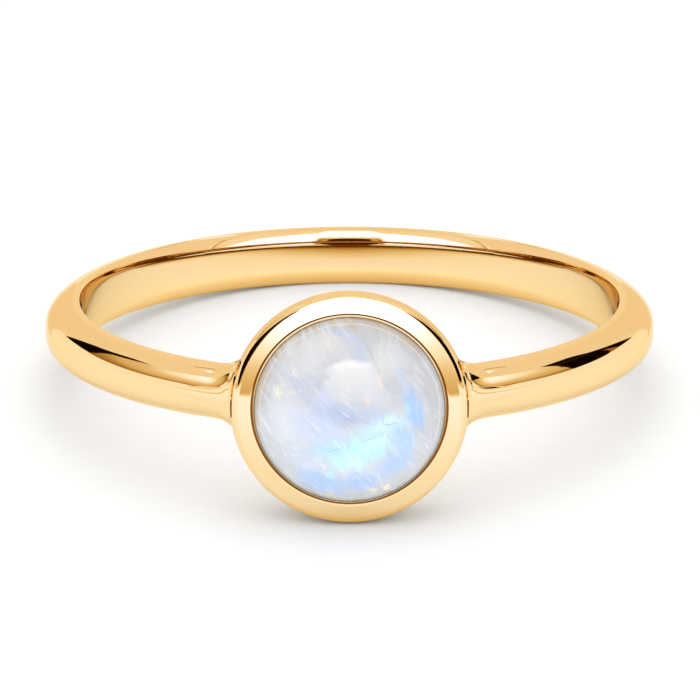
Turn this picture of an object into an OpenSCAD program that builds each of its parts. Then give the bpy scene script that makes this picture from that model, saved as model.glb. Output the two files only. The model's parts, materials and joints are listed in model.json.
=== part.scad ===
// Moonstone ring lying on its side: a polished gold band with a round bezel soldered to it,
// and a round moonstone cabochon held under the bezel's lip.
// Each piece is drawn about the centre of the finger hole, with the finger along Z and the stone
// facing -Y, and is then tipped into the pose in which the ring rests on a table: the bezel's
// lower edge and the back of the band touch it. The origin lies on the table, below the middle.

/* [Band] */
// Inside diameter of the band, for a US size 7 finger
finger_d = 17.3; // [15:0.1:20]
// Width of the band along the finger
band_w = 1.94; // [1.6:0.02:2.2]
// Thickness of the band beside the bezel
band_front_t = 1.36; // [1.2:0.02:1.6]
// Thickness of the band at the back of the finger
band_back_t = 0.99; // [0.98:0.01:1.2]
// Chamfer that eases the two inside edges of the band
edge_ease = 0.2; // [0.1:0.01:0.3]
// Size of the solder flare where the band meets the bezel
flare = 0.5; // [0.4:0.02:0.6]

/* [Bezel] */
// Outside diameter of the bezel at its widest
bezel_d = 7.5; // [7.2:0.02:7.8]
// Height of the bezel's face above the inside of the band
bezel_rise = 1.61; // [1.5:0.01:1.8]
// Radius of the bezel's rounded outer edge
rim_r = 0.28; // [0.22:0.01:0.3]
// Depth of the roundest part of that edge below the face
rim_depth = 0.31; // [0.3:0.01:0.4]
// Diameter of the opening that shows the stone
opening_d = 6.05; // [5.9:0.01:6.1]
// Width of the bright bevel round the opening
bevel_w = 0.09; // [0.05:0.01:0.12]
// Depth of that bevel
bevel_depth = 0.03; // [0.02:0.01:0.05]
// Angle at which the wall of the bezel starts to lean in behind its rim
wall_lean = 15; // [12:1:20]
// Radius of the wall's curve on from there, towards the finger
wall_r = 8; // [6:0.5:12]

/* [Stone] */
// Diameter of the moonstone at its girdle
stone_d = 6.4; // [6.3:0.01:6.5]
// Height of the dome above the bezel's face
dome_rise = 1.34; // [1:0.02:1.8]
// Height of the flat base above the inside of the band
base_h = 0.55; // [0.5:0.01:0.6]
// Height of the sloping foot below the girdle
foot_h = 0.32; // [0.2:0.01:0.4]
// Clearance between the stone and the metal
seat_gap = 0.04; // [0.02:0.01:0.05]

/* [Hidden] */

gold = [0.93, 0.74, 0.42];
milky_white = [0.84, 0.87, 0.93];
round_fn = 160;
section_fn = 64;
// How far a cutter or a hidden end runs past the surface that it has to clear
past = 1;

// The flare's curve. Columns: run towards the stone from where the flare starts, and growth of
// the band there, both in flare sizes. The last slice is buried in the bezel.
run = 0;
growth = 1;
flare_curve = [[0, -0.04], [0.65, 0.24], [1.25, 0.66], [2.9, 1]];
slice_t = 0.01;
slice_steps = 16;
slice_overlap = 0.3;

finger_r = finger_d / 2;
half_w = band_w / 2;
// The outside of the band is a half-round swept on a circle that is set forward of the finger
// hole, so that the band thickens evenly from back to front.
sweep_r = finger_r + (band_front_t + band_back_t) / 2 - half_w;
forward = (band_front_t - band_back_t) / 2;

opening_r = opening_d / 2;
face_y = finger_r + bezel_rise;
bevel_r = opening_r + bevel_w;
bevel_y = face_y - bevel_depth;
rim_c = [bezel_d / 2 - rim_r, face_y - rim_depth];
// The wall is a slow curve that runs on from the rim with no step. It ends inside the finger
// hole, which cuts it off.
wall_c = rim_c - (wall_r - rim_r) * [cos(wall_lean), -sin(wall_lean)];
wall_end_y = finger_r - 2;
wall_end = asin((wall_c.y - wall_end_y) / wall_r);
arc_steps = 12;
// The face leaves the bevel on the line that is tangent to the rim.
face_run = rim_c - [bevel_r, face_y];
face_slope = atan2(face_run.y, face_run.x) + asin(rim_r / norm(face_run));

stone_r = stone_d / 2;
base_y = finger_r + base_h;
foot_y = base_y + foot_h;
foot_r = stone_r - foot_h;
// The dome is a sphere through its top and the ring on which it passes the opening's edge.
dome_h = dome_rise + bevel_depth + 1.5 * seat_gap;
dome_r = (opening_r * opening_r + dome_h * dome_h) / (2 * dome_h);
dome_y = face_y + dome_rise - dome_r;
girdle_y = dome_y + sqrt(dome_r * dome_r - stone_r * stone_r);

// Lying down, the floor touches the bezel's rim in front and the half-round of the band behind:
// it is the line below both circles, seen from the side.
reach = rim_c.y + sweep_r - forward;
tip = atan2(rim_c.x, reach) + asin((rim_r - half_w) / norm([reach, rim_c.x]));
lift = (sweep_r - forward) * sin(tip) + half_w;
back_y = (sweep_r - forward) * cos(tip) + half_w;
front_y = dome_y * cos(tip) + dome_r;

// Points on an arc from angle a0 to a1, counted anticlockwise from +X
function arc(c, r, a0, a1, steps) =
    [for (i = [0:steps]) let (a = a0 + (a1 - a0) * i / steps) c + r * [cos(a), sin(a)]];

// Tips the ring into its rest pose, with the table at Z = 0 and the origin below its middle
module lying() {
    translate([0, (front_y - back_y) / 2, lift]) rotate([-tip, 0, 0]) children();
}

// Turns a profile (radius, distance from the finger's centre) about the stone's axis
module turned_on_stone_axis() {
    rotate([90, 0, 0]) rotate_extrude($fn = round_fn) children();
}

module band() {
    difference() {
        translate([0, -forward, 0]) rotate_extrude($fn = round_fn) {
            translate([sweep_r, 0]) circle(d = band_w, $fn = section_fn);
            translate([finger_r - past, -half_w]) square([sweep_r - finger_r + past, band_w]);
        }
        for (side = [0, 1]) mirror([0, 0, side]) edge_cutter();
    }
}

// A ring-shaped wedge that takes the corner off one inside edge
module edge_cutter() {
    rotate_extrude($fn = round_fn) polygon([
        [finger_r - past, half_w - edge_ease - past],
        [finger_r + edge_ease + past, half_w + past],
        [finger_r - past, half_w + past]]);
}

// One thin slice across the band, grown all round except into the finger hole. Its x is the
// distance from the stone's axis.
module band_slice(x, grow) {
    turn = asin(x / (finger_r + half_w));
    section_r = half_w + grow;
    inside_x = finger_r - slice_overlap;
    rotate([0, 0, turn - 90]) rotate([90, 0, 0]) linear_extrude(slice_t)
        polygon(concat(
            [[inside_x, -section_r]],
            arc([sweep_r + forward, 0], section_r, -90, 90, slice_steps),
            [[inside_x, section_r]]));
}

// Solder flare: the band grows on a hollow curve as it runs into the bezel
module seam_flare() {
    start = bezel_d / 2 + flare;
    for (side = [0, 1], i = [0:len(flare_curve) - 2]) mirror([side, 0, 0]) hull()
        for (at = [flare_curve[i], flare_curve[i + 1]])
            band_slice(start - at[run] * flare, at[growth] * flare);
}

module cup() {
    turned_on_stone_axis() polygon(concat(
        [[0, face_y], [bevel_r, face_y]],
        arc(rim_c, rim_r, 90 + face_slope, -wall_lean, arc_steps),
        arc(wall_c, wall_r, -wall_lean, -wall_end, arc_steps),
        [[0, wall_end_y]]));
}

// The seat behind the lip, and the bevelled opening in front of it
module stone_seat() {
    turned_on_stone_axis() polygon([
        [0, base_y - seat_gap],
        [foot_r + seat_gap, base_y - seat_gap],
        [stone_r + seat_gap, foot_y],
        [stone_r + seat_gap, girdle_y + seat_gap / 2],
        [opening_r, bevel_y],
        [bevel_r, face_y],
        [bevel_r, face_y + past],
        [0, face_y + past]]);
}

module ring_mount() {
    color(gold) lying() difference() {
        union() {
            band();
            seam_flare();
            cup();
        }
        cylinder(r = finger_r, h = 3 * bezel_d, center = true, $fn = round_fn);
        stone_seat();
    }
}

module moonstone() {
    color(milky_white) lying() turned_on_stone_axis() intersection() {
        translate([0, dome_y]) circle(r = dome_r, $fn = round_fn);
        polygon([[0, base_y], [foot_r, base_y], [stone_r, foot_y],
                 [stone_r, face_y + dome_rise + past], [0, face_y + dome_rise + past]]);
    }
}

ring_mount();
moonstone();
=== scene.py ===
import json
import math

import bpy
import numpy as np
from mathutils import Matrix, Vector


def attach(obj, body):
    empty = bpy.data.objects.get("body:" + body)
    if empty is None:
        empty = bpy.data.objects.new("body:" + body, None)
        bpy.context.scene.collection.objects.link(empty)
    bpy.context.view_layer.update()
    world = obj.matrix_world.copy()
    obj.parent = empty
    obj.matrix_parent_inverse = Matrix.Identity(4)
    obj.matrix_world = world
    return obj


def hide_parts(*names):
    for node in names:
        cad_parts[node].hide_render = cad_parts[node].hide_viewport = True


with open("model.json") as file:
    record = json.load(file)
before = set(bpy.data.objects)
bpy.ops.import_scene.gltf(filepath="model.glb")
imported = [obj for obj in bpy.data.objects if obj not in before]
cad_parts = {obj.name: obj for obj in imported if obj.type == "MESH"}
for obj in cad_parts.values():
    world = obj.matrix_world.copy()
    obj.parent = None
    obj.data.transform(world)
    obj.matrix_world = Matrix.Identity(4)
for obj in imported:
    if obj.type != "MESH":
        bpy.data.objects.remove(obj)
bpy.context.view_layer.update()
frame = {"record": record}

# The view
# The ring lies on a pale table and is seen from in front of the stone through a long lens,
# so that the band's far side hardly shrinks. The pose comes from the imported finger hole.
MM = 0.001
finger_hole = next(m for m in frame["record"]["mounts"] if m["name"] == "finger_hole")
centre = np.array(finger_hole["pos_m"])
along = np.array(finger_hole["axis"]) / np.linalg.norm(finger_hole["axis"])
right = np.array([1.0, 0.0, 0.0])
back = np.cross(along, right)

ELEVATION = math.radians(23.56)
DISTANCE = 300 * MM
PHOTO_PIXELS = 700
PIXELS_PER_MM = 30.94
RING_PIXEL = (349.5, 324.6)
SENSOR_MM = 36

camera_data = bpy.data.cameras.new("camera")
camera = bpy.data.objects.new("camera", camera_data)
bpy.context.scene.collection.objects.link(camera)
bpy.context.scene.camera = camera
camera_data.sensor_width = SENSOR_MM
camera_data.lens = PIXELS_PER_MM / MM * DISTANCE / PHOTO_PIXELS * SENSOR_MM
toward_camera = Vector((0, -math.cos(ELEVATION), math.sin(ELEVATION)))
camera_up = Vector((0, math.sin(ELEVATION), math.cos(ELEVATION)))
offset_mm = [(PHOTO_PIXELS / 2 - p) / PIXELS_PER_MM for p in RING_PIXEL]
aim = Vector(centre) + Vector((offset_mm[0] * MM, 0, 0)) - camera_up * offset_mm[1] * MM
camera.location = Vector(centre) + toward_camera * DISTANCE
camera.rotation_euler = (camera.location - aim).to_track_quat("Z", "Y").to_euler()


# The ring mount
# A half-round band of polished yellow gold with a round bezel soldered to it. The band is drawn
# wire, bent round and filed flush; the bezel is a turned cup whose lip is pushed over the stone.
def placed(x, y, z):
    """Points given in mm about the finger's centre, x right, y to the back of the finger and z
    along it, put into the pose in which the ring lies."""
    return centre + MM * (x[..., None] * right + y[..., None] * back + z[..., None] * along)


def closed_tube(points):
    """Corners, four-sided and three-sided faces of a grid of points whose last column meets its
    first. A fan of triangles about the mean of the first row closes that end, and another closes
    the last."""
    rows, columns = points.shape[:2]
    ring = np.arange(rows * columns).reshape(rows, columns)
    ring = np.hstack([ring, ring[:, :1]])
    cells = np.stack([ring[:-1, :-1], ring[1:, :-1], ring[1:, 1:], ring[:-1, 1:]], axis=-1)
    poles = np.full(columns, rows * columns), np.full(columns, rows * columns + 1)
    first = np.stack([poles[0], ring[0, :-1], ring[0, 1:]], axis=-1)
    last = np.stack([poles[1], ring[-1, 1:], ring[-1, :-1]], axis=-1)
    corners = np.vstack([points.reshape(-1, 3), points[0].mean(0), points[-1].mean(0)])
    return corners, cells.reshape(-1, 4), np.vstack([first, last])


def piece_of(name, *tubes):
    """One smooth-shaded object made of closed tubes, at the origin."""
    corners, faces, start = [], [], 0
    for tube in tubes:
        tube_corners, four_sided, three_sided = closed_tube(tube)
        corners.append(tube_corners)
        faces += (four_sided + start).tolist() + (three_sided + start).tolist()
        start += len(tube_corners)
    mesh = bpy.data.meshes.new(name)
    mesh.from_pydata(np.vstack(corners).tolist(), [], faces)
    mesh.shade_smooth()
    piece = bpy.data.objects.new(name, mesh)
    bpy.context.scene.collection.objects.link(piece)
    return piece


def eased(corners, radii, steps=8):
    """A line through the corners in which each inner corner is replaced by a small curve,
    (1 - t)^2 a + 2 t (1 - t) corner + t^2 b, where a and b lie on the corner's two sides at that
    corner's radius from it."""
    corners = [np.array(c, float) for c in corners]
    line = [corners[0]]
    t = np.linspace(0, 1, steps)[:, None]
    for before, corner, after, r in zip(corners, corners[1:], corners[2:], radii):
        a = corner + r * (before - corner) / np.linalg.norm(before - corner)
        b = corner + r * (after - corner) / np.linalg.norm(after - corner)
        line.extend((1 - t) ** 2 * a + 2 * t * (1 - t) * corner + t ** 2 * b)
    return np.array(line + [corners[-1]])


# Sizes of the bezel in mm. BEZEL_R and OPENING_R are about the stone's axis, RIM_R and WALL_R are
# the radii of the rim's and the wall's curve. FACE_Y and BASE_Y are measured from the finger's
# centre, BEZEL_H and BASE_H from the inside of the band. WALL_LEAN is in degrees.
FINGER_R = finger_hole["dims"]["r_mm"]
BEZEL_R = 3.745
BEZEL_H = 1.61
FACE_Y = FINGER_R + BEZEL_H
# Run and slope in degrees of the face and of the shoulder's steps, and the rounding at their ends
SHOULDER = ((0.385, 5.2), (0.06, 8), (0.05, 14), (0.05, 25), (0.03, 45))
SHOULDER_EASE = (0.036, 0.022, 0.026, 0.022, 0.018)
RIM_R = 0.28
RIM_DEPTH = 0.41
OPENING_R = 2.99
BEVEL_W = 0.12
BEVEL_DEPTH = 0.03
WALL_LEAN = 15
WALL_R = 8
BORE_EASE = 0.08
LIP_EASE = 0.035
SEAT_EASE = 0.03
# The stone's seat is cut to its shape, so its sizes are needed here already
STONE_R = 3.2
DOME_RISE = 1.34
BASE_H = 0.55
BASE_Y = FINGER_R + BASE_H
FOOT_H = 0.32
SEAT_GAP = 0.04

rim_c = np.array([BEZEL_R - RIM_R, FACE_Y - RIM_DEPTH])
lean = math.radians(WALL_LEAN)
wall_c = rim_c - (WALL_R - RIM_R) * np.array([math.cos(lean), -math.sin(lean)])
# The dome is a sphere through its top and the ring on which it passes the opening's edge
dome_h = DOME_RISE + BEVEL_DEPTH + 1.5 * SEAT_GAP
dome_r = (OPENING_R ** 2 + dome_h ** 2) / (2 * dome_h)
dome_y = FACE_Y + DOME_RISE - dome_r
girdle_y = dome_y + math.sqrt(dome_r ** 2 - STONE_R ** 2)


def spread(line, gap):
    """More points along a line of points, none further apart than gap: the stretch from one point
    to the next is cut into length / gap equal steps, rounded up."""
    stretch = np.diff(line, axis=0)
    steps = np.maximum(1, np.ceil(np.linalg.norm(stretch, axis=1) / gap)).astype(int)
    which = np.repeat(np.arange(len(steps)), steps)
    step = np.arange(1, len(which) + 1) - np.repeat(np.cumsum(steps) - steps, steps)
    share = (step / steps[which])[:, None]
    return np.vstack([line[:1], line[which] + stretch[which] * share])


def turned(profile, around):
    """A profile (radius, rise towards the stone) turned about the stone's axis. The profile may
    differ from angle to angle: its shape is (points, 1 or angles, 2)."""
    radius, rise = profile[..., 0], profile[..., 1]
    return placed(radius * np.cos(around), -rise + 0 * around, radius * np.sin(around))


# How fine the bezel's mesh is: its points lie this far apart in mm, in the seat that the stone
# hides and on the face, and the wall, the eased edge of the finger hole and the back have these
# many rows. SEAT_ROWS is how many points of the line lie in the hidden seat, and TURN_STEPS how
# many points go round the stone's axis.
SEAT_STEP = 0.4
FACE_STEP = 0.06
SEAT_ROWS = 20
WALL_ROWS = 32
EDGE_ROWS = 6
BACK_ROWS = 24
TURN_STEPS = 264
# The wall's end is looked for up to this angle in radians, which lies inside the finger hole
WALL_LIMIT = 1.2
HALVINGS = 40


def bezel_points(around):
    """The cup, turned about the stone's axis. From the seat's floor the profile runs over the
    lip, the bevel, the sloping face, the shoulder, which a file took down more, and the side,
    and down the wall, a circle of WALL_R.
    At each angle the wall stops where it meets the finger hole, rise = sqrt(R^2 - (r cos)^2),
    found by halving, and the hole's own surface closes the cup."""
    wall_top = rim_c + RIM_R * np.array([math.cos(lean), -math.sin(lean)])
    shoulder = np.array([OPENING_R + BEVEL_W, FACE_Y]) + np.cumsum(
        [(0, 0)] + [(run, -run * math.tan(math.radians(slope))) for run, slope in SHOULDER], axis=0)
    waist = (BEZEL_R, wall_top[1] + (BEZEL_R - wall_top[0]) / math.tan(lean))
    line = eased(
        [(0, BASE_Y - SEAT_GAP), (STONE_R - FOOT_H + SEAT_GAP, BASE_Y - SEAT_GAP),
         (STONE_R + SEAT_GAP, BASE_Y + FOOT_H), (STONE_R + SEAT_GAP, girdle_y + SEAT_GAP / 2),
         (OPENING_R, FACE_Y - BEVEL_DEPTH), *shoulder, waist, wall_top],
        [SEAT_EASE, SEAT_EASE, SEAT_EASE, LIP_EASE, LIP_EASE, *SHOULDER_EASE,
         math.dist(waist, wall_top)])
    # Down to the wall's top the profile is the same at every angle
    same = np.vstack([spread(line[:SEAT_ROWS], SEAT_STEP)[1:],
                      spread(line[SEAT_ROWS - 1:], FACE_STEP)[1:]])
    same = np.broadcast_to(same[:, None], (len(same), len(around), 2))

    def on_wall(a):
        """Radius and rise of the wall at the angle a of its circle."""
        return wall_c[0] + WALL_R * np.cos(a), wall_c[1] - WALL_R * np.sin(a)

    def on_hole(radius):
        """The finger hole's surface at a radius: rise = sqrt(R^2 - (radius cos)^2)."""
        return np.stack([radius, np.sqrt(FINGER_R ** 2 - (radius * np.cos(around)) ** 2)], axis=-1)

    low, high = np.full(len(around), lean), np.full(len(around), WALL_LIMIT)
    for _ in range(HALVINGS):
        a = (low + high) / 2
        r, rise = on_wall(a)
        outside = rise > on_hole(r)[:, 1]
        low, high = np.where(outside, a, low), np.where(outside, high, a)
    end = low - BORE_EASE / WALL_R
    wall = np.stack(on_wall(lean + (end - lean) * np.linspace(0, 1, WALL_ROWS)[1:, None]), axis=-1)

    # The hole's edge is eased with the same curve as the corners of the line
    corner = on_hole(on_wall(low)[0])
    after = on_hole(corner[:, 0] - BORE_EASE)
    t = np.linspace(0, 1, EDGE_ROWS)[1:, None, None]
    edge = (1 - t) ** 2 * wall[-1] + 2 * t * (1 - t) * corner + t ** 2 * after
    back_wall = on_hole(after[:, 0] * np.linspace(1, 0, BACK_ROWS)[1:-1, None])
    return turned(np.concatenate([same, wall, edge, back_wall]), around)


# Sizes of the band in mm. Width and thickness are given beside the bezel and at the back.
BAND_W = (1.76, 1.92)
BAND_T = (1.36, 0.99)
# Powers of the half-round section, across and outwards: it is fuller than an ellipse across
ROUND_ACROSS = 2.7
ROUND_UP = 1.72
# Each inside edge is rounded this far across the band and outwards, and less at the two sides
EDGE_ACROSS = 0.6
EDGE_OUT = 0.25
EDGE_LESS = 0.16
# The band widens into the bezel on a hollow of this radius, with a head start and a cap, and the
# solder makes a small fillet. Both grow no more this near the bezel's wall.
FLARE = 1.15
FLARE_START = 0.12
FLARE_MAX = 0.25
FILLET = 0.3
SEAM = 0.02
# Inside the bezel the band's inner wall sinks below the back, by this share of the way past
# this depth
SUNK_SHARE = 0.3
SUNK_DEPTH = 0.3
# How fine the band's mesh is. Stretches near the bezel have the columns: from and to, in mm from
# the stone's axis, and sections. A section has these many points on its round, edges and flat.
BAND_SECTIONS = 240
NEAR_STRETCHES = ((3.2, 3.6, 12), (3.6, 4.2, 60), (4.2, 5.2, 16))
ROUND_POINTS = 80
EDGE_POINTS = 22
FLAT_POINTS = 10
# The points on the round are spaced evenly for a section of this half width and height
SPACED_FOR = (0.93, 1.1)
SPACING_SAMPLES = 4001


def band_points():
    """The band as a section carried round the finger. The section is half a superellipse,
    (z / half width)^p + (rise / thickness)^q = 1, on an inside wall that is flat in the middle
    and rounded to its edges by quarter ellipses. Width and thickness go from front to back as
    half of 1 - cos(turn), and the rounding is shallower at the sides, by sin(turn)^2.
    Near the bezel the section swells along its own normal on hollows of the form
    f - sqrt(f^2 - (f - d)^2) at a distance d from the bezel's wall: a slow one that widens the
    sides and a small solder fillet."""
    near = np.unique(np.concatenate([np.linspace(*stretch) for stretch in NEAR_STRETCHES]))
    near = np.arcsin(near / (FINGER_R + BAND_T[0]))
    turn = np.concatenate([near, np.linspace(near[-1], 2 * math.pi - near[-1], BAND_SECTIONS)[1:-1],
                           2 * math.pi - near[::-1]])[:, None]
    share = (1 - np.cos(turn)) / 2
    half_w = (BAND_W[0] + (BAND_W[1] - BAND_W[0]) * share) / 2
    thick = BAND_T[0] + (BAND_T[1] - BAND_T[0]) * share
    edge_out = EDGE_OUT - EDGE_LESS * np.sin(turn) ** 2

    # The round, at even steps along it
    a = np.linspace(-math.pi / 2, math.pi / 2, SPACING_SAMPLES)
    across = np.sign(np.sin(a)) * np.abs(np.sin(a)) ** (2 / ROUND_ACROSS)
    up = np.cos(a).clip(0) ** (2 / ROUND_UP)
    steps = np.hypot(np.diff(across) * SPACED_FOR[0], np.diff(up) * SPACED_FOR[1])
    run = np.concatenate([[0], np.cumsum(steps)])
    even = np.linspace(0, run[-1], ROUND_POINTS)
    across, up = np.interp(even, run, across), np.interp(even, run, up)
    z = half_w * across
    rise = edge_out + (thick - edge_out) * up
    out_z = np.sign(across) * np.abs(across) ** (ROUND_ACROSS - 1) * ROUND_ACROSS / half_w
    out_rise = up ** (ROUND_UP - 1) * ROUND_UP / (thick - edge_out)
    size = np.hypot(out_z, out_rise)
    out_z, out_rise = out_z / size, out_rise / size

    # The inside: a rounded edge, the flat wall, the other edge
    b = np.linspace(0, math.pi / 2, EDGE_POINTS)[1:]
    edge_z, edge_rise = 1 - np.cos(b), 1 - np.sin(b)
    flat = np.linspace(1, -1, FLAT_POINTS)[1:-1]
    inner_z = np.concatenate([
        half_w - EDGE_ACROSS * edge_z, (half_w - EDGE_ACROSS) * flat,
        -half_w + EDGE_ACROSS * edge_z[::-1]], axis=1)
    inner_rise = edge_out * np.concatenate([edge_rise, 0 * flat, edge_rise[::-1]])

    def off_wall(z, rise):
        """Distance from the circle that the bezel's wall follows, negative inside it. The back
        half of the band counts as out of reach of any hollow."""
        x, y = (FINGER_R + rise) * np.sin(turn), (FINGER_R + rise) * np.cos(turn)
        off = np.hypot(np.hypot(x, z) - wall_c[0], y - wall_c[1]) - WALL_R
        return np.where(y > 0, off, FLARE)

    def hollow(d, f):
        """Growth on a hollow of radius f at distance d: f - sqrt(f^2 - (f - d)^2)."""
        return f - np.sqrt(f ** 2 - (f - d.clip(SEAM, f)) ** 2)

    d = off_wall(z, rise)
    flare = hollow(d + FLARE_START, FLARE).clip(0, FLARE_MAX) * out_z ** 2
    grow = flare + hollow(d, FILLET)
    z, rise = z + out_z * grow, rise + out_rise * grow
    sunk = SUNK_SHARE * (-off_wall(inner_z, inner_rise + 0 * inner_z) - SUNK_DEPTH).clip(0)
    z = np.hstack([z, inner_z])
    rise = np.hstack([rise, inner_rise + sunk])
    return placed((FINGER_R + rise) * np.sin(turn), -(FINGER_R + rise) * np.cos(turn), z)


around = np.linspace(0, 2 * math.pi, TURN_STEPS, endpoint=False)
mount = piece_of("band_and_bezel", bezel_points(around), band_points())


def linear(hex_colour):
    """An sRGB hex colour as linear red, green, blue and alpha."""
    s = np.array([int(hex_colour[i:i + 2], 16) for i in (0, 2, 4)]) / 255
    return (*np.where(s <= 0.04045, s / 12.92, ((s + 0.055) / 1.055) ** 2.4), 1)


def node(tree, kind, settings=(), **links):
    """Adds a node. settings sets its properties, its input values by name or number and, as
    stops, a ramp's places and colours from 0 to 1; links joins inputs, named with _ for a space,
    to other nodes' outputs."""
    new = tree.nodes.new(kind)
    for key, value in dict(settings).items():
        if key == "stops":
            elements = new.color_ramp.elements
            for at, stop_colour in value[1:-1]:
                elements.new(at).color = stop_colour
            elements[0].color, elements[-1].color = value[0][1], value[-1][1]
        elif isinstance(key, str) and hasattr(new, key):
            setattr(new, key, value)
        else:
            new.inputs[key].default_value = value
    for key, output in links.items():
        socket = new.inputs[int(key[1:])] if key[1:].isdigit() else new.inputs[key.replace("_", " ")]
        tree.links.new(output, socket)
    return new


def material(name):
    """A new material with nothing in its node tree yet."""
    new = bpy.data.materials.new(name)
    new.use_nodes = True
    new.node_tree.nodes.clear()
    return new, new.node_tree


# Yellow gold, filed, then polished on felt wheels: a warm mirror that shows the room sharply and
# turns paler where it is seen edge-on. The file leaves slow waves, 2 mm long and 0.0025 mm deep,
# that bend long reflections a little. The wheels leave a grain that is too fine to show, so it is
# drawn in patches of 1/6 mm that are a little more or less sharp.
WAVE_MM = 2
WAVE_DEPTH = 0.0025
PATCHES_PER_MM = 6
gold, tree = material("polished_yellow_gold")
place = node(tree, "ShaderNodeTexCoord").outputs["Object"]
waves = node(tree, "ShaderNodeTexNoise", {"Scale": 1 / (WAVE_MM * MM), "Detail": 1},
             Vector=place).outputs[0]
patches = node(tree, "ShaderNodeTexNoise", {"Scale": PATCHES_PER_MM / MM, "Detail": 5},
               Vector=place).outputs[0]
polish = node(tree, "ShaderNodeMapRange", {
    "From Min": 0.3, "From Max": 0.7, "To Min": 0.025, "To Max": 0.055}, Value=patches).outputs[0]
normal = node(tree, "ShaderNodeBump", {"Strength": 1, "Distance": WAVE_DEPTH * MM}, Height=waves)
shader = node(tree, "ShaderNodeBsdfPrincipled", {
    "Base Color": linear("ffdfa8"), "Specular Tint": linear("fff2d6"), "Metallic": 1},
    Roughness=polish, Normal=normal.outputs[0])
node(tree, "ShaderNodeOutputMaterial", Surface=shader.outputs[0])
mount.data.materials.append(gold)
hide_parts("ring_mount")
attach(mount, "root")


# The moonstone
# A round cabochon of rainbow moonstone, cut and polished to a low dome, with a straight girdle
# that sits in the bezel and a small sloping foot.
DOME_ROWS = 90
GIRDLE_EASE = 0.03
UNDER_STEP = 0.1
# The mesh stops this near its two poles, in degrees on the dome and in mm on the base, and a fan
# of triangles closes it
TOP_POLE = 0.5
BASE_POLE = 0.05


def arc(mid, r, start, end, steps):
    """Points (radius, rise) on a circle about mid from angle start to end, in degrees."""
    a = np.radians(np.linspace(start, end, steps))
    return np.array(mid) + r * np.stack([np.cos(a), np.sin(a)], axis=-1)


def stone_points(around):
    """The stone, turned about its axis: an arc of the dome's circle from its top to the girdle,
    the straight girdle, the sloping foot and the flat base, with the two corners eased."""
    girdle = math.degrees(math.asin(STONE_R / dome_r))
    dome = arc((0, dome_y), dome_r, 90 - TOP_POLE, 90 - girdle, DOME_ROWS)
    under = eased([dome[-1], (STONE_R, BASE_Y + FOOT_H), (STONE_R - FOOT_H, BASE_Y),
                   (BASE_POLE, BASE_Y)], [GIRDLE_EASE, GIRDLE_EASE])
    profile = np.vstack([dome, spread(under, UNDER_STEP)[1:]])
    return turned(profile[::-1, None], around)


stone = piece_of("cabochon", stone_points(around))
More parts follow.
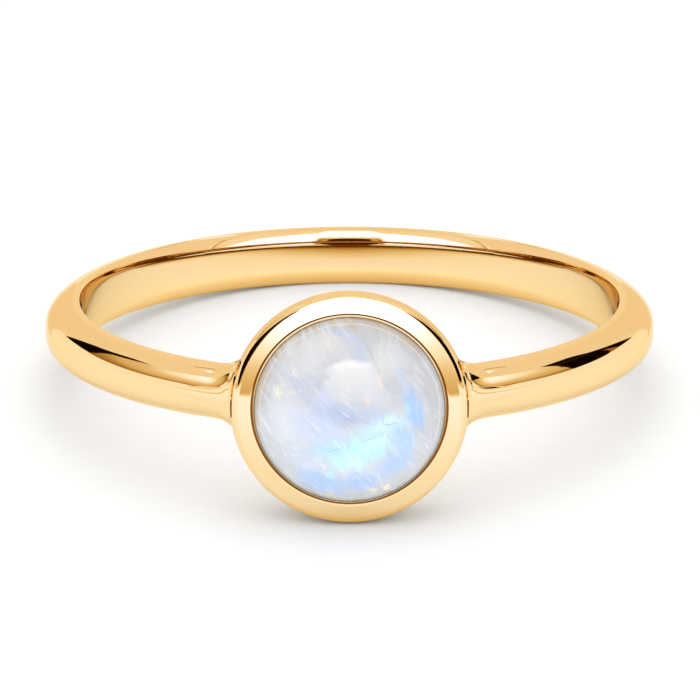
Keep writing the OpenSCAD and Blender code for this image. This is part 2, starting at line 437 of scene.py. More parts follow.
# Clouds inside the stone, drawn over each other. Columns: middle in mm to the right and up from
# the stone's axis, half sizes, turn in degrees, share of it at full strength, strength, colour.
CLOUDS = (
    (0, -0.03, 2.95, 2.95, 0, 0.93, 1.0, "d4d5d9"),
    (-0.1, 0.1, 2.75, 2.6, 0, 0.75, 0.8, "dfe2ea"),
    (-1.9, 0.0, 1.0, 1.3, 10, 0.2, 0.9, "e7eaf4"),
    (-1.55, 1.85, 1.1, 0.8, 45, 0.3, 0.8, "e8e9ec"),
    (-0.8, 2.3, 0.8, 0.5, 25, 0.2, 0.8, "eeecea"),
    (0.15, 1.3, 1.3, 0.85, -10, 0.2, 0.9, "e9e7e4"),
    (1.05, 1.75, 0.6, 0.9, -20, 0.2, 0.8, "ecebeb"),
    (1.55, 1.9, 0.8, 0.4, -50, 0.1, 0.6, "e6eaf1"),
    (2.6, 0.9, 1.7, 0.42, -78, 0.5, 0.9, "d0d2d8"),
    (2.45, -1.0, 1.2, 0.42, -60, 0.3, 0.9, "d2d5dd"),
    (1.7, -2.1, 1.1, 0.5, 38, 0.3, 0.9, "d6d8dd"),
    (-2.35, -1.3, 1.1, 0.45, -55, 0.3, 0.9, "d5d8df"),
    (-1.4, -1.4, 1.1, 0.6, -40, 0.2, 0.8, "d6dfef"),
    (-0.9, -0.3, 1.2, 0.9, -30, 0.3, 0.9, "d3dffa"),
    (-0.6, 0.35, 1.1, 0.5, -28, 0.2, 0.9, "cbd8f6"),
    (-0.15, 0.25, 0.6, 0.28, -25, 0.2, 0.9, "b9c8ee"),
    (0.7, 0.2, 0.9, 0.35, -10, 0.1, 0.8, "d0ddfa"),
    (-1.75, 1.2, 0.75, 0.24, -40, 0.1, 0.7, "cfdbf0"),
    (-1.0, 1.0, 1.3, 0.28, -42, 0.1, 0.6, "d5dcee"),
    (-1.45, 0.8, 0.6, 0.1, -55, 0.1, 0.8, "cbdaf6"),
    (-0.45, 2.62, 0.45, 0.12, -8, 0.2, 1.0, "c2d8fb"),
    (0.1, 2.45, 0.3, 0.25, -40, 0.1, 0.8, "cbdbf7"),
    (0.3, 2.1, 0.3, 0.5, 10, 0.1, 0.7, "cedbf4"),
    (-0.9, -2.2, 1.1, 0.6, -15, 0.3, 1.0, "bcd2f7"),
    (0.4, -2.15, 0.85, 0.45, 8, 0.3, 1.0, "b8d0fd"),
    (1.4, -1.5, 0.9, 0.6, 35, 0.2, 1.0, "c0d5fc"),
    (1.7, -0.7, 0.7, 0.5, -60, 0.2, 1.0, "bedcfe"),
    (-0.5, -0.95, 1.1, 0.5, 18, 0.2, 1.0, "c4e6fe"),
    (1.0, -0.2, 1.2, 0.45, 8, 0.3, 1.0, "ccf0ff"),
    (1.15, -0.1, 0.75, 0.2, 8, 0.2, 1.0, "e2fbff"),
    (0.4, -0.95, 1.25, 0.62, 14, 0.4, 1.0, "c8f6ff"),
    (0.75, -0.75, 0.7, 0.3, 15, 0.2, 0.9, "dcfeff"),
    (-0.05, -1.45, 0.75, 0.4, -5, 0.3, 1.0, "cdf6ff"),
    (0.15, -1.25, 0.35, 0.25, -50, 0.1, 0.9, "e4feff"),
    (-0.6, -1.75, 0.2, 0.35, -10, 0.2, 0.9, "c4eeff"),
    (2.0, 0.25, 1.0, 0.36, -78, 0.3, 1.0, "b2d4fe"),
    (1.8, 0.3, 0.4, 0.16, -75, 0.1, 0.9, "c6ecff"),
    (1.65, 1.15, 0.8, 0.14, -66, 0.2, 0.9, "d6e6fd"),
    (2.15, -0.2, 0.4, 0.16, -80, 0.2, 0.9, "b4d4fc"),
    (-0.12, -0.08, 0.32, 0.15, 22, 0.1, 0.8, "cfd2e4"),
)
# Pale flecks and fibres, and creases where the layers slipped, drawn over the clouds, with the
# same columns
FLECKS = (
    (-2.25, 0.72, 0.22, 0.3, -20, 0.1, 1.0, "fffaea"),
    (-2.05, 0.98, 0.12, 0.1, 30, 0.1, 0.8, "f8f2ea"),
    (-1.85, 0.78, 0.2, 0.07, 30, 0.1, 0.9, "fcf4ec"),
    (-1.72, 1.37, 0.16, 0.1, 35, 0.2, 0.9, "fbf5ee"),
    (-1.45, 1.6, 0.16, 0.05, -50, 0.2, 0.8, "f8f2ec"),
    (-1.53, 0.9, 0.14, 0.05, -50, 0.2, 0.9, "fff6ee"),
    (-0.75, 1.2, 0.14, 0.09, -40, 0.1, 0.8, "fbf0e8"),
    (-1.2, 2.12, 0.06, 0.12, 30, 0.1, 0.8, "f8f4f0"),
    (-0.7, 2.3, 0.09, 0.13, -30, 0.2, 0.9, "faf7f0"),
    (-0.85, 2.58, 0.18, 0.07, 0, 0.1, 0.8, "f2f0ee"),
    (-0.3, 1.35, 0.12, 0.08, -30, 0.1, 0.6, "f8eee6"),
    (0.95, 1.22, 0.42, 0.12, -78, 0.1, 1.0, "fbf0e9"),
    (0.55, 0.65, 0.22, 0.14, -50, 0.1, 0.9, "fae8de"),
    (1.2, 0.75, 0.3, 0.05, -75, 0.1, 0.8, "f6ede8"),
    (-1.9, 0.42, 0.08, 0.06, 0, 0.1, 0.8, "fcfaf6"),
    (-1.75, -0.98, 0.2, 0.05, 12, 0.1, 0.9, "fbf0e8"),
    (-1.7, -1.27, 0.14, 0.07, 20, 0.1, 0.9, "faf2ec"),
    (-2.0, -1.33, 0.04, 0.1, -10, 0.1, 1.0, "fffaf4"),
    (-0.4, -0.72, 0.1, 0.05, 0, 0.1, 0.6, "e6f4fe"),
    (0.2, -1.99, 0.2, 0.05, 12, 0.2, 1.0, "f2e8ff"),
    (0.45, -1.84, 0.14, 0.04, 35, 0.2, 0.8, "eee8fe"),
    (0.75, -2.52, 0.2, 0.16, 0, 0.1, 0.9, "fdf0de"),
    (1.17, -2.45, 0.16, 0.18, 20, 0.3, 1.0, "fff4dc"),
    (-0.95, -1.72, 0.16, 0.14, 0, 0.1, 0.8, "d8dee6"),
    (-1.15, -1.42, 0.1, 0.05, -40, 0.1, 0.6, "e2e4e6"),
)
CREASES = (
    (-1.35, -1.36, 0.45, 0.018, 22, 0.1, 0.6, "b0bfd6"),
    (-0.45, -0.96, 0.65, 0.016, 26, 0.1, 0.8, "9cb8dc"),
    (0.55, -0.62, 0.65, 0.016, 15, 0.1, 0.8, "9cb8e4"),
    (0.45, 0.0, 0.55, 0.016, -23, 0.1, 0.7, "a8bae6"),
    (1.22, -0.15, 0.42, 0.016, 9, 0.1, 0.8, "98b0ea"),
    (1.9, 0.03, 0.45, 0.014, 18, 0.1, 0.5, "b0c4ea"),
    (1.3, -0.68, 0.32, 0.02, -56, 0.1, 0.9, "90a8f0"),
    (-0.05, -0.85, 0.35, 0.016, -78, 0.1, 0.7, "98b4ea"),
    (0.12, -1.2, 0.3, 0.02, -62, 0.1, 0.6, "a0c4f0"),
    (-0.55, -0.6, 0.6, 0.014, 33, 0.1, 0.5, "b0c6f2"),
    (0.45, -1.75, 0.35, 0.02, -65, 0.1, 0.5, "a4b8f4"),
    (-0.2, -2.0, 0.5, 0.02, -72, 0.1, 0.4, "d6e4fb"),
    (-1.2, 0.25, 0.6, 0.02, -60, 0.1, 0.5, "c4d2ee"),
    (-1.45, 1.9, 0.5, 0.016, -65, 0.1, 0.5, "f4f4f6"),
    (2.32, -0.75, 0.75, 0.02, -52, 0.1, 0.8, "f0eff0"),
    (2.15, -0.95, 0.55, 0.03, -55, 0.1, 0.6, "e6e6ea"),
    (0.62, 2.1, 0.5, 0.04, -62, 0.1, 0.7, "bcc4d6"),
    (0.85, 1.6, 0.35, 0.03, -65, 0.1, 0.6, "c8cedd"),
    (1.3, 1.75, 0.9, 0.03, -62, 0.1, 0.6, "f4f5fa"),
    (1.1, 2.3, 0.5, 0.016, -50, 0.1, 0.6, "f4f4f8"),
    (2.05, 1.55, 0.5, 0.014, -50, 0.1, 0.7, "f4f4f6"),
)


# Noise about 0 over the stone's face; its scale is in waves for each mm
ABOUT_ZERO = {"noise_dimensions": "2D", "normalize": False, "Roughness": 0.6}


def streaks(tree, place, turn, length, width):
    """Noise about 0 drawn out into streaks of a length and width in mm, at an angle to the
    right."""
    drawn = node(tree, "ShaderNodeMapping", {
        "vector_type": "TEXTURE", "Rotation": (0, 0, math.radians(turn)),
        "Scale": (length, width, 1)}, Vector=place)
    return node(tree, "ShaderNodeTexNoise", {**ABOUT_ZERO, "Scale": 1, "Detail": 4},
                Vector=drawn.outputs[0]).outputs[0]


def pushed(tree, place, *pushes):
    """A place on the face pushed about by noises: each push adds a noise, or its three parts,
    times a fixed step in mm."""
    for noise, step in pushes:
        place = node(tree, "ShaderNodeVectorMath", {"operation": "MULTIPLY_ADD", 1: (*step, 0)},
                     _0=noise, _2=place).outputs[0]
    return place


def drawn_over(tree, colour, place, shapes):
    """Ellipses laid over a colour. One covers (r - 1) / (full - 1) of it, smoothly, where r is
    the length of the place in half sizes."""
    for u, v, half_u, half_v, turn, full, strength, hue in shapes:
        inside = node(tree, "ShaderNodeMapping", {
            "vector_type": "TEXTURE", "Location": (u, v, 0), "Rotation": (0, 0, math.radians(turn)),
            "Scale": (half_u, half_v, 1)}, Vector=place)
        r = node(tree, "ShaderNodeVectorMath", {"operation": "LENGTH"}, _0=inside.outputs[0])
        cover = node(tree, "ShaderNodeMapRange", {
            "interpolation_type": "SMOOTHSTEP", "From Min": 1, "From Max": full, "To Min": 0,
            "To Max": strength}, Value=r.outputs["Value"])
        colour = node(tree, "ShaderNodeMix", {"data_type": "RGBA", 7: linear(hue)},
                      _0=cover.outputs[0], _6=colour).outputs[2]
    return colour


# Moonstone, polished: under a clear, glassy surface its thin layers of feldspar scatter the
# light, milky white where they are coarse and blue where they are fine. Light that enters above
# and comes back out of the lower half is painted: painted shade on the top and a painted glow
# below. Feathers, flecks and creases break the sheen up.
moonstone, tree = material("polished_moonstone")
place = node(tree, "ShaderNodeTexCoord").outputs["Object"]
tip = math.atan2(along[1], along[2])
place = node(tree, "ShaderNodeMapping", {
    "vector_type": "TEXTURE", "Location": tuple(centre), "Rotation": (-tip, 0, 0),
    "Scale": (MM, MM, MM)}, Vector=place).outputs[0]
u, _, v = node(tree, "ShaderNodeSeparateXYZ", Vector=place).outputs
face = node(tree, "ShaderNodeCombineXYZ", _0=u, _1=v).outputs[0]

# The layers inside run down to the right, more steeply on the right-hand side, and waver. Their
# feathers are 1 mm long and 0.17 mm wide, and the finest that show 0.8 mm and 0.05 mm.
TURN_LEFT, TURN_RIGHT = -48, -70
steep = node(tree, "ShaderNodeMapRange", {
    "interpolation_type": "SMOOTHSTEP", "From Min": 0, "From Max": 1.6}, Value=u).outputs[0]
slow = node(tree, "ShaderNodeTexNoise", {**ABOUT_ZERO, "Scale": 0.45, "Detail": 1}, Vector=face)
wavering = pushed(tree, face, (slow.outputs["Color"], (0.3, 0.3)))
coarse, fine = (
    node(tree, "ShaderNodeMix", _0=steep, _2=streaks(tree, wavering, TURN_LEFT, length, width),
         _3=streaks(tree, wavering, TURN_RIGHT, length, width)).outputs[0]
    for length, width in ((1.0, 0.17), (0.8, 0.05)))
crumbs = node(tree, "ShaderNodeTexNoise", {**ABOUT_ZERO, "Scale": 9, "Detail": 3}, Vector=face)
bends = node(tree, "ShaderNodeTexNoise", {**ABOUT_ZERO, "Scale": 1.6, "Detail": 2}, Vector=face)
feathered = pushed(tree, face, (coarse, (0.14, -0.2)), (fine, (0.04, -0.05)))
crumbled = pushed(tree, face, (crumbs.outputs["Color"], (0.09, 0.09)), (fine, (0.03, -0.04)))
cracked = pushed(tree, face, (bends.outputs["Color"], (0.04, 0.04)))

# At the very edge, past the clouds, the stone is given painted shade from the lip and a painted warm
# reflection of its gold seat
painted_seat_shade = node(tree, "ShaderNodeRGB")
painted_seat_shade.outputs[0].default_value = linear("d2c6b4")
colour = drawn_over(tree, painted_seat_shade.outputs[0], feathered, CLOUDS)
# White feathers lie over the clouds, in patches
patches = node(tree, "ShaderNodeTexNoise", {**ABOUT_ZERO, "Scale": 1.1, "Detail": 2}, Vector=face)
patchy = node(tree, "ShaderNodeMapRange", {"From Min": -0.25, "From Max": 0.35},
              Value=patches.outputs[0]).outputs[0]
for amount, hue, strength in ((coarse, "f8f9fd", 0.4), (fine, "ffffff", 0.45)):
    share = node(tree, "ShaderNodeMath", {"operation": "MULTIPLY"}, _0=amount, _1=patchy)
    share = node(tree, "ShaderNodeMath", {"operation": "MULTIPLY", 1: strength, "use_clamp": True},
                 _0=share.outputs[0]).outputs[0]
    colour = node(tree, "ShaderNodeMix", {"data_type": "RGBA", 7: linear(hue)},
                  _0=share, _6=colour).outputs[2]
colour = drawn_over(tree, colour, crumbled, FLECKS)
colour = drawn_over(tree, colour, cracked, CREASES)

# A painted reflection: the bright lip of the seat, as the dome bends it, is drawn as a thin pale ring
# just inside the stone's edge
LIP_RING_R = 2.82
LIP_RING_HALF = 0.045
r = node(tree, "ShaderNodeVectorMath", {"operation": "LENGTH"}, _0=face).outputs["Value"]
off = node(tree, "ShaderNodeMath", {"operation": "SUBTRACT", 1: LIP_RING_R}, _0=r).outputs[0]
off = node(tree, "ShaderNodeMath", {"operation": "ABSOLUTE"}, _0=off).outputs[0]
ring = node(tree, "ShaderNodeMapRange", {
    "interpolation_type": "SMOOTHSTEP", "From Min": LIP_RING_HALF, "From Max": 0, "To Max": 0.5},
    Value=off).outputs[0]
colour = node(tree, "ShaderNodeMix", {"data_type": "RGBA", 7: linear("f2f2f2")},
              _0=ring, _6=colour).outputs[2]

# Painted light for the light that enters the top of the dome and comes back out of its lower
# half, a little bluer: the top's colour is darkened by painted shade, and the lower half is given
# a painted glow. Heights are in mm up from the stone's axis.
BLUER = (0.4, 0.72, 0.9)
painted_top_shade = node(tree, "ShaderNodeMapRange", {
    "From Min": -1.5, "From Max": 2.5, "To Min": 1, "To Max": 0.86}, Value=v).outputs[0]
top_shaded_colour = node(tree, "ShaderNodeVectorMath", {"operation": "SCALE"}, _0=colour, Scale=painted_top_shade)
painted_glow_colour = node(tree, "ShaderNodeVectorMath", {"operation": "MULTIPLY", 1: BLUER}, _0=colour)
painted_glow = node(tree, "ShaderNodeMapRange", {
    "From Min": 1.0, "From Max": -2.5, "To Min": 0, "To Max": 0.14}, Value=v).outputs[0]
shader = node(tree, "ShaderNodeBsdfPrincipled", {"Roughness": 0.03, "IOR": 1.52},
              Base_Color=top_shaded_colour.outputs[0], Emission_Color=painted_glow_colour.outputs[0],
              Emission_Strength=painted_glow)
node(tree, "ShaderNodeOutputMaterial", Surface=shader.outputs[0])
stone.data.materials.append(moonstone)
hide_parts("moonstone")
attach(stone, "root")


# The table
# A wide sheet of matt white paper. It ends a little way in front of the ring, so the metal
# mirrors the room above that edge. Where the metal mirrors it, the paper is painted with shade
# and warm light, and what the metal mirrors into itself a second time is painted dimmer.
PAPER_HALF = 600 * MM
PAPER_FRONT = -46 * MM
mesh = bpy.data.meshes.new("paper")
mesh.from_pydata([(-PAPER_HALF, PAPER_FRONT, 0), (PAPER_HALF, PAPER_FRONT, 0),
                  (PAPER_HALF, PAPER_HALF, 0), (-PAPER_HALF, PAPER_HALF, 0)], [], [(0, 1, 2, 3)])
floor = bpy.data.objects.new("paper", mesh)
bpy.context.scene.collection.objects.link(floor)
# Matt white paper, uncoated: an even, soft white with no gloss. Its fibres are too fine to show,
# so they are drawn as faint clouds about 0.7 mm long, between these two whites.
FIBRE_CLOUDS_PER_MM = 1.5
WHITES = (0.905, 0.935)
paper, tree = material("matt_white_paper")
place = node(tree, "ShaderNodeTexCoord").outputs["Object"]
fibres = node(tree, "ShaderNodeTexNoise", {"Scale": FIBRE_CLOUDS_PER_MM / MM, "Detail": 4},
              Vector=place).outputs[0]
shade = node(tree, "ShaderNodeMapRange", {"To Min": WHITES[0], "To Max": WHITES[1]},
             Value=fibres)
path = node(tree, "ShaderNodeLightPath").outputs

# What a mirror ray from the gold sees of the paper inside the ring: from near to far, the paper
# is painted darker and browner, a painted shade and gold reflection of the foot of the wall
# behind it. Places count as inside where their distance from the finger hole's centre is less
# than this share of the ray's length, and than this length.
INSIDE_SHARE = 0.8
INSIDE_MOST = 22 * MM
FOOT_FROM, FOOT_TO = 6 * MM, 13.5 * MM
PAINTED_FOOT_SHADE = ((0, linear("ededed")), (0.3, linear("eae6dd")), (0.55, linear("d7c59b")),
        (0.75, linear("b58e45")), (1, linear("61380a")))
from_centre = node(tree, "ShaderNodeVectorMath", {"operation": "DISTANCE", 1: tuple(centre)},
                   _0=place).outputs["Value"]
most = node(tree, "ShaderNodeMath", {"operation": "MULTIPLY", 1: INSIDE_SHARE},
            _0=path["Ray Length"]).outputs[0]
most = node(tree, "ShaderNodeMath", {"operation": "MINIMUM", 1: INSIDE_MOST}, _0=most).outputs[0]
inside = node(tree, "ShaderNodeMath", {"operation": "LESS_THAN"}, _0=from_centre, _1=most)
far = node(tree, "ShaderNodeMapRange", {"From Min": FOOT_FROM, "From Max": FOOT_TO},
           Value=path["Ray Length"]).outputs[0]
far = node(tree, "ShaderNodeMath", {"operation": "MULTIPLY"}, _0=far, _1=inside.outputs[0])
seen = node(tree, "ShaderNodeValToRGB", {"stops": PAINTED_FOOT_SHADE}, Fac=far.outputs[0]).outputs[0]

# Close to the wall that it lies under, the paper is given painted warm light from the gold, most
# where they touch
RING_MIDDLE_R = 9.6 * MM
in_ring = node(tree, "ShaderNodeMath", {"operation": "LESS_THAN", 1: RING_MIDDLE_R},
               _0=from_centre).outputs[0]
painted_warm_light = node(tree, "ShaderNodeMapRange", {"From Min": 6 * MM, "From Max": 0.5 * MM},
             Value=path["Ray Length"]).outputs[0]
painted_warm_light = node(tree, "ShaderNodeMath", {"operation": "MULTIPLY"}, _0=in_ring, _1=painted_warm_light).outputs[0]
seen = node(tree, "ShaderNodeMix", {"data_type": "RGBA", 7: linear("fefdeb")}, _0=painted_warm_light,
            _6=seen).outputs[2]
painted_contact_light = node(tree, "ShaderNodeMapRange", {"From Min": 2.2 * MM, "From Max": 0.2 * MM},
                Value=path["Ray Length"]).outputs[0]
seen = node(tree, "ShaderNodeMix", {"data_type": "RGBA", 7: linear("f3dfb3")}, _0=painted_contact_light,
            _6=seen).outputs[2]

# Rays that the gold mirrors more than once see the paper in painted dark shade, apart from a
# painted pale strip under the back of the band. Columns: y in mm, colour.
DARK, PALE = linear("3f2407"), linear("dad4cb")
REBOUND_SHADE = ((-10, linear("7c5019")), (-6, linear("7c5019")), (-4, DARK), (6.3, linear("452907")),
         (7, PALE), (10.5, PALE), (12, DARK), (15, DARK))
again_from, again_to = REBOUND_SHADE[0][0], REBOUND_SHADE[-1][0]
y = node(tree, "ShaderNodeSeparateXYZ", Vector=place).outputs[1]
to_back = node(tree, "ShaderNodeMapRange", {"From Min": again_from * MM, "From Max": again_to * MM},
               Value=y)
rebound_shade = node(tree, "ShaderNodeValToRGB", {
    "stops": [((at - again_from) / (again_to - again_from), hue) for at, hue in REBOUND_SHADE]},
    Fac=to_back.outputs[0])
deep = node(tree, "ShaderNodeMath", {"operation": "GREATER_THAN", 1: 1.5}, _0=path["Glossy Depth"])
seen = node(tree, "ShaderNodeMix", {"data_type": "RGBA"}, _0=deep.outputs[0], _6=seen,
            _7=rebound_shade.outputs[0]).outputs[2]

# The light that it gets back from the gold is balanced to neutral
bounced = node(tree, "ShaderNodeMath", {"operation": "MULTIPLY", "use_clamp": True},
               _0=path["Glossy Depth"], _1=path["Diffuse Depth"]).outputs[0]
seen = node(tree, "ShaderNodeMix", {"data_type": "RGBA", 7: linear("c2d1f1")}, _0=bounced,
            _6=seen).outputs[2]
mirrored = node(tree, "ShaderNodeMath", {"operation": "GREATER_THAN", 1: 0.5},
                _0=path["Glossy Depth"]).outputs[0]
colour = node(tree, "ShaderNodeMix", {"data_type": "RGBA"}, _0=mirrored, _6=shade.outputs[0],
              _7=seen).outputs[2]
shader = node(tree, "ShaderNodeBsdfDiffuse", Color=colour)
node(tree, "ShaderNodeOutputMaterial", Surface=shader.outputs[0])
mesh.materials.append(paper)


# The glowing boards
# Glowing cards stand close round the ring, out of the camera's sight: one in front of the
# stone, and a long and a short one beside each end of the band's back. Their pale and black
# shapes are painted light that the cards give off themselves.
# Only polished surfaces see them. A mirror ray that comes from too near or too far passes through.
def within(tree, place, corners, soft):
    """How far a place lies inside a convex shape: the least of its distances from the lines
    through the edges, n . p + c with n square to the edge, smoothed to 0..1 over the soft edge."""
    corners = np.array(corners, float)
    after = np.roll(corners, -1, axis=0)
    left_turning = np.sign((corners[:, 0] * after[:, 1] - corners[:, 1] * after[:, 0]).sum())
    edge = after - corners
    normal = left_turning * np.stack([-edge[:, 1], edge[:, 0]], axis=-1)
    normal /= np.linalg.norm(edge, axis=1)[:, None]
    least = None
    for n, c in zip(normal, -(normal * corners).sum(1)):
        inside = node(tree, "ShaderNodeVectorMath", {"operation": "DOT_PRODUCT", 1: (*n, c)},
                      _0=place).outputs["Value"]
        least = inside if least is None else node(
            tree, "ShaderNodeMath", {"operation": "MINIMUM"}, _0=least, _1=inside).outputs[0]
    return node(tree, "ShaderNodeMapRange", {
        "interpolation_type": "SMOOTHSTEP", "From Min": -soft / 2, "From Max": soft / 2},
        Value=least).outputs[0]


# Brightness of a backdrop where nothing is painted, and of its black parts
UNLIT = 0.004


def brightness(tree, across, height, shapes):
    """The brightness at a place on a painted backdrop, from shapes laid over each other. A shape
    holds: whether it stands on both sides, the softness of its edge, its brightness at some
    heights, and its corners (across, height). Between two of the heights the brightness goes in
    a straight line: the lower one's, plus the share of the way times the difference."""
    one_side = node(tree, "ShaderNodeCombineXYZ", {2: 1}, _0=across, _1=height).outputs[0]
    mirrored = node(tree, "ShaderNodeMath", {"operation": "ABSOLUTE"}, _0=across).outputs[0]
    both_sides = node(tree, "ShaderNodeCombineXYZ", {2: 1}, _0=mirrored, _1=height).outputs[0]
    level = None
    for both, soft, stops, corners in shapes:
        light = None
        for (low, dim), (high, bright) in zip(stops, stops[1:]):
            start = dim if light is None else 0
            step = node(tree, "ShaderNodeMapRange", {
                "From Min": low, "From Max": high, "To Min": start, "To Max": start + bright - dim},
                Value=height).outputs[0]
            light = step if light is None else node(
                tree, "ShaderNodeMath", {"operation": "ADD"}, _0=light, _1=step).outputs[0]
        mask = within(tree, both_sides if both else one_side, corners, soft)
        mixed = node(tree, "ShaderNodeMix", {2: UNLIT, 3: stops[0][1]}, _0=mask)
        if level is not None:
            tree.links.new(level, mixed.inputs[2])
        if light is not None:
            tree.links.new(light, mixed.inputs[3])
        level = mixed.outputs[0]
    return level


# Colour of the set's light, where dim parts are warm and the brightest a little cool. Columns:
# brightness, and green and blue relative to red.
SET_COLOURS = ((0, 0.2, 0), (0.11, 0.29, 0.01), (0.44, 0.62, 0.16), (0.79, 0.8, 0.48),
               (0.9, 0.89, 0.73), (1, 1, 1), (1.3, 1, 1.42), (1.8, 1, 1.6), (3, 1, 1))


def lit(tree, level):
    """The light of a part of the set: its brightness times its colour in SET_COLOURS."""
    brightest = SET_COLOURS[-1][0]
    share = node(tree, "ShaderNodeMath", {"operation": "DIVIDE", 1: brightest}, _0=level)
    stops = [(at / brightest, (1, green, blue, 1)) for at, green, blue in SET_COLOURS]
    ramp = node(tree, "ShaderNodeValToRGB", {"stops": stops}, Fac=share.outputs[0])
    return node(tree, "ShaderNodeVectorMath", {"operation": "SCALE"}, _0=ramp.outputs[0],
                Scale=level).outputs[0]


BOTH, ONE = True, False
BLACK = ((0, UNLIT),)
GREY = ((0, 0.5),)
DARK_GREY = ((0, 0.25),)
# Shapes as brightness() takes them, in mm to the right of the stone and up from the table: the
# pale ground, the white box that the bezel's face mirrors, two grey strips over it, a dark line
# and black shapes at its sides, and the table's glow below, painted on as light, with a painted
# dark patch behind the lip
FRONT_SHAPES = (
    (ONE, 0.5, ((3.6, 0.66), (4.2, 0.76), (5, 0.92), (6, 1.1), (8, 1.0), (10, 0.9), (14, 0.95)),
     ((-30, 0), (30, 0), (30, 30), (-30, 30))),
    (ONE, 2.2, ((4.8, 1.0), (5.6, 1.2), (6.4, 1.6), (7.8, 2.4), (9, 3), (10, 4), (11.4, 8)),
     ((-2.9, 10.9), (0, 12), (3.2, 11.2), (3.5, 8), (3.6, 5.6), (2, 4.6), (-2, 4.6), (-3.6, 5.6),
      (-3.5, 8))),
    (ONE, 0.7, GREY, ((-5, 10.6), (-3, 11.0), (-1, 12.2), (-1, 13), (-5, 11.8))),
    (ONE, 0.7, GREY, ((-1.4, 12.2), (1, 12.4), (4.6, 11.2), (4.6, 12.8), (1, 13.4), (-1.4, 13))),
    (ONE, 0.5, DARK_GREY, ((-12, 8.7), (-2.8, 8.7), (-2.8, 9.3), (-12, 9.6))),
    (ONE, 0.3, BLACK, ((-5.2, 4.2), (-2.9, 8.2), (-2.6, 8.9), (-11, 9.2), (-11.5, 7.4),
                       (-9.4, 5.7), (-7.6, 4.6), (-6.3, 4.1))),
    (ONE, 0.3, BLACK, ((5.6, 4.4), (9.5, 4.8), (12, 5.4), (13.3, 7), (13.3, 12.4), (8, 11.3),
                       (4.2, 10.3), (4.0, 9.3))),
    (ONE, 0.3, BLACK, ((13, 9.6), (19, 10.6), (19, 14), (13, 12.4))),
    (BOTH, 0.25, ((0, 0.97), (2, 1.05), (3.5, 1.12)),
     ((4.7, -30), (30, -30), (30, 4.15), (4.7, 4.15))),
    (BOTH, 0.25, ((0, 0.97), (2, 1.12), (3.5, 1.2)), ((-1, -30), (5, -30), (5, 3.6), (-1, 3.6))),
    (BOTH, 0.4, ((2.6, 0.3), (3.2, 0.2), (3.5, UNLIT)),
     ((-1, 2.6), (1.6, 2.6), (2.3, 3.6), (2.3, 4.4), (1.4, 5.4), (-1, 5.6))),
)
SIDE_SHAPES = ((ONE, 1, ((0, 0.9),), ((-60, -60), (60, -60), (60, 60), (-60, 60))),)
# The boards stand this far above the paper, in mm
FOOT_GAP = 0.1
# Columns: name, the two ends of its foot (x, y), the height of its top, how far a mirror ray must
# and may have come to see it, and its shapes, with the sizes in mm
BOARDS = (
    ("front_board", (-26, -15), (26, -15), 16, 0, 20, FRONT_SHAPES),
    ("left_board", (-13.5, 5.5), (-13.5, 40), 30, 0, 60, SIDE_SHAPES),
    ("right_board", (13.5, 40), (13.5, 5.5), 30, 0, 60, SIDE_SHAPES),
    ("left_end_board", (-13.5, -0.5), (-13.5, 5.5), 30, 16, 60, SIDE_SHAPES),
    ("right_end_board", (13.5, 5.5), (13.5, -0.5), 30, 16, 60, SIDE_SHAPES),
)
for name, start, end, top, nearest, furthest, shapes in BOARDS:
    corners = MM * np.array([(*start, FOOT_GAP), (*end, FOOT_GAP), (*end, top), (*start, top)])
    mesh = bpy.data.meshes.new(name)
    mesh.from_pydata(corners.tolist(), [], [(0, 1, 2, 3)])
    board = bpy.data.objects.new(name, mesh)
    bpy.context.scene.collection.objects.link(board)
    board.visible_camera = board.visible_diffuse = board.visible_shadow = False
    board.visible_transmission = False
    # Card that glows with its shapes as painted light: it gives back no gloss, only its own light
    glowing_card, tree = material("printed_card_" + name)
    place = node(tree, "ShaderNodeTexCoord").outputs["Object"]
    in_mm = node(tree, "ShaderNodeVectorMath", {"operation": "SCALE", "Scale": 1 / MM},
                 _0=place).outputs[0]
    x, _, z = node(tree, "ShaderNodeSeparateXYZ", Vector=in_mm).outputs
    light = node(tree, "ShaderNodeEmission", {"Strength": 1},
                 Color=lit(tree, brightness(tree, x, z, shapes)))
    length = node(tree, "ShaderNodeLightPath").outputs["Ray Length"]
    middle, half = (nearest + furthest) / 2 * MM, (furthest - nearest) / 2 * MM
    met = node(tree, "ShaderNodeMath", {"operation": "COMPARE", 1: middle, 2: half}, _0=length)
    clear = node(tree, "ShaderNodeBsdfTransparent")
    shader = node(tree, "ShaderNodeMixShader", _0=met.outputs[0], _1=clear.outputs[0],
                  _2=light.outputs[0])
    node(tree, "ShaderNodeOutputMaterial", Surface=shader.outputs[0])
    mesh.materials.append(glowing_card)


# The studio
# A plain white dome lights everything softly. Polished metal shows what stands round it, so its
# mirror rays see the rest of the set as well: white boxes, a back wall and black flags, each a
# flat panel given by its corners' (azimuth, elevation) in degrees. Azimuth is 0 in front of the
# stone and grows to the right. A wall, light or glow is given by its brightness at some elevations.
FRONT_WALL = ((-2, 0.9), (20, 0.95), (60, 0.92))
UPPER_WALL = ((55, 0.92), (75, 0.88))
FRONT_LIGHT = ((3, 1.9), (48, 1.9))
FRONT_MIDDLE = ((8, 0.1), (12, 0.31), (15, 0.58), (18, 0.85), (22, 1.1), (26, 1.75), (48, 1.75),
                (57, 1.25), (65, 0.9))
BACK_WALL = ((-5, 0.9), (8, 0.94), (21, 0.92), (29, 0.92), (62, 0.92))
SIDE_WALL = ((20, 0.3), (28, 0.42), (35, 0.7), (43, 0.8), (50, 1.0), (57, 1.25))
TABLE_GLOW = ((0, 1.0),)
BACK_BOX = ((0, 2.0),)
BACK_SLOT = ((0, 0.3),)
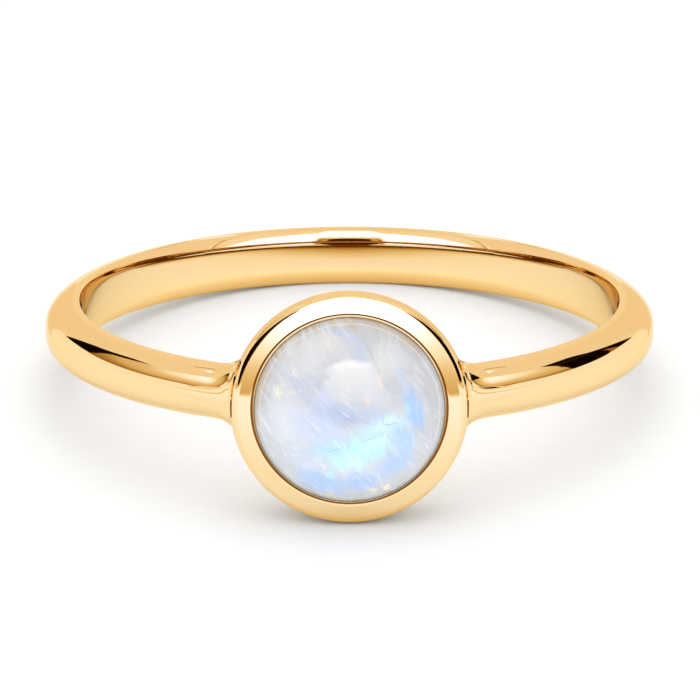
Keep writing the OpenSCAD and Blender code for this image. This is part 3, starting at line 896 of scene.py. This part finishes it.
PANELS = (
    (BOTH, 4, UPPER_WALL, ((-1, 50), (190, 50), (190, 95), (-1, 95))),
    (BOTH, 5, FRONT_WALL, ((-1, -4), (62, -4), (62, 60), (-1, 60))),
    (BOTH, 5, FRONT_LIGHT, ((13, 2), (62, 2), (60, 15), (48, 22), (36, 33), (24, 50), (13, 50))),
    (BOTH, 4, FRONT_MIDDLE, ((-1, 0), (14, 0), (15, 30), (15, 66), (-1, 66))),
    (BOTH, 1.5, BACK_WALL, ((144, -30), (190, -30), (190, 75), (181, 75), (150, 62), (144, 11))),
    (BOTH, 1.5, BACK_BOX, ((147, 44), (160, 44), (160, 52), (148.5, 52))),
    (BOTH, 0.8, BACK_SLOT, ((162, 37), (170, 37), (170, 38.3), (162, 38.3))),
    (BOTH, 1.5, SIDE_WALL, ((62, 0), (127, 0), (142, 31), (142, 50), (137, 60), (102, 62),
                            (68, 50), (62, 30))),
    (ONE, 1, BLACK, ((-126.5, 18), (-144.5, 9), (-150.5, 27), (-150.5, 34), (-142.5, 33),
                     (-131, 25))),
    (ONE, 1, BLACK, ((-150.5, 27), (-150.5, 44), (-148, 49), (-143.5, 44), (-142.5, 30))),
    (ONE, 1, BLACK, ((98.5, 17), (106, 29.3), (116.4, 38.5), (133, 44), (144, 29.5), (121, 14),
                     (105, 13))),
    (ONE, 1, BLACK, ((133, 44), (150, 48.5), (151, 36), (144, 29.5))),
    (BOTH, 1, TABLE_GLOW, ((62, -12), (136, -12), (127, 19), (110, 21.5), (97, 24), (75, 27),
                           (62, 24))),
    (BOTH, 1, TABLE_GLOW, ((125, -12), (166, -12), (155, 3), (144, 11), (136, 16), (127, 19))),
)
world = bpy.data.worlds.new("studio")
bpy.context.scene.world = world
world.use_nodes = True
tree = world.node_tree
tree.nodes.clear()
way = node(tree, "ShaderNodeTexCoord").outputs["Generated"]
x, y, z = node(tree, "ShaderNodeSeparateXYZ", Vector=way).outputs
ahead = node(tree, "ShaderNodeMath", {"operation": "MULTIPLY", 1: -1}, _0=y)
azimuth = node(tree, "ShaderNodeMath", {"operation": "ARCTAN2"}, _0=x, _1=ahead.outputs[0])
azimuth = node(tree, "ShaderNodeMath", {"operation": "DEGREES"}, _0=azimuth.outputs[0]).outputs[0]
elevation = node(tree, "ShaderNodeMath", {"operation": "ARCSINE"}, _0=z)
elevation = node(tree, "ShaderNodeMath", {"operation": "DEGREES"}, _0=elevation.outputs[0]).outputs[0]
level = brightness(tree, azimuth, elevation, PANELS)

# What polished walls mirror into each other is dimmer, most of all towards the front and the back
path = node(tree, "ShaderNodeLightPath").outputs
deep = node(tree, "ShaderNodeMath", {"operation": "GREATER_THAN", 1: 1.5}, _0=path["Glossy Depth"])
side = node(tree, "ShaderNodeMath", {"operation": "ABSOLUTE"}, _0=azimuth).outputs[0]
sideways = node(tree, "ShaderNodeMapRange", {
    "From Min": 25, "From Max": 45, "To Min": 0.06, "To Max": 0.8}, Value=side).outputs[0]
backwards = node(tree, "ShaderNodeMapRange", {
    "From Min": 135, "From Max": 150, "To Min": 1, "To Max": 0.05}, Value=side).outputs[0]
left_over = node(tree, "ShaderNodeMath", {"operation": "MULTIPLY"}, _0=sideways,
                 _1=backwards).outputs[0]
kept = node(tree, "ShaderNodeMix", {2: 1}, _0=deep.outputs[0], _3=left_over).outputs[0]
level = node(tree, "ShaderNodeMath", {"operation": "MULTIPLY"}, _0=level, _1=kept).outputs[0]
set_light = node(tree, "ShaderNodeBackground", {"Strength": 1}, Color=lit(tree, level))
# The light that the paper gets back from the gold is balanced to neutral
neutral = node(tree, "ShaderNodeBackground", {"Color": linear("afc4ff"), "Strength": 1.68})
once_matt = node(tree, "ShaderNodeMath", {"operation": "GREATER_THAN", 1: 0.5},
                 _0=path["Diffuse Depth"])
mirrored = node(tree, "ShaderNodeMixShader", _0=once_matt.outputs[0], _1=set_light.outputs[0],
                _2=neutral.outputs[0])

# The white dome, for all other rays: top + 0.58 z + 0.58 y^2 + 0.14 y, where top is a soft spot
# straight above. The camera sees it as an even white.
DOME_EVEN, DOME_SPOT = 0.58, 1.16
DOME_SHARES = (0.58, 0.58, 0.14)
CAMERA_WHITE = 0.98
top = node(tree, "ShaderNodeMapRange", {
    "interpolation_type": "SMOOTHSTEP", "From Min": 0.8, "From Max": 1, "To Min": DOME_EVEN,
    "To Max": DOME_SPOT}, Value=z).outputs[0]
depth = node(tree, "ShaderNodeMath", {"operation": "MULTIPLY"}, _0=y, _1=y).outputs[0]
parts = node(tree, "ShaderNodeCombineXYZ", _0=z, _1=depth, _2=y).outputs[0]
rest = node(tree, "ShaderNodeVectorMath", {"operation": "DOT_PRODUCT", 1: DOME_SHARES},
            _0=parts).outputs["Value"]
dome = node(tree, "ShaderNodeMath", {"operation": "ADD"}, _0=top, _1=rest).outputs[0]
seen = node(tree, "ShaderNodeMix", {3: CAMERA_WHITE}, _0=path["Is Camera Ray"], _2=dome).outputs[0]
dome_light = node(tree, "ShaderNodeBackground", {"Color": (1, 1, 1, 1)}, Strength=seen)
both_lights = node(tree, "ShaderNodeMixShader", _0=path["Is Glossy Ray"], _1=dome_light.outputs[0],
                   _2=mirrored.outputs[0])
node(tree, "ShaderNodeOutputWorld", Surface=both_lights.outputs[0])
bpy.context.scene.view_settings.view_transform = "Standard"
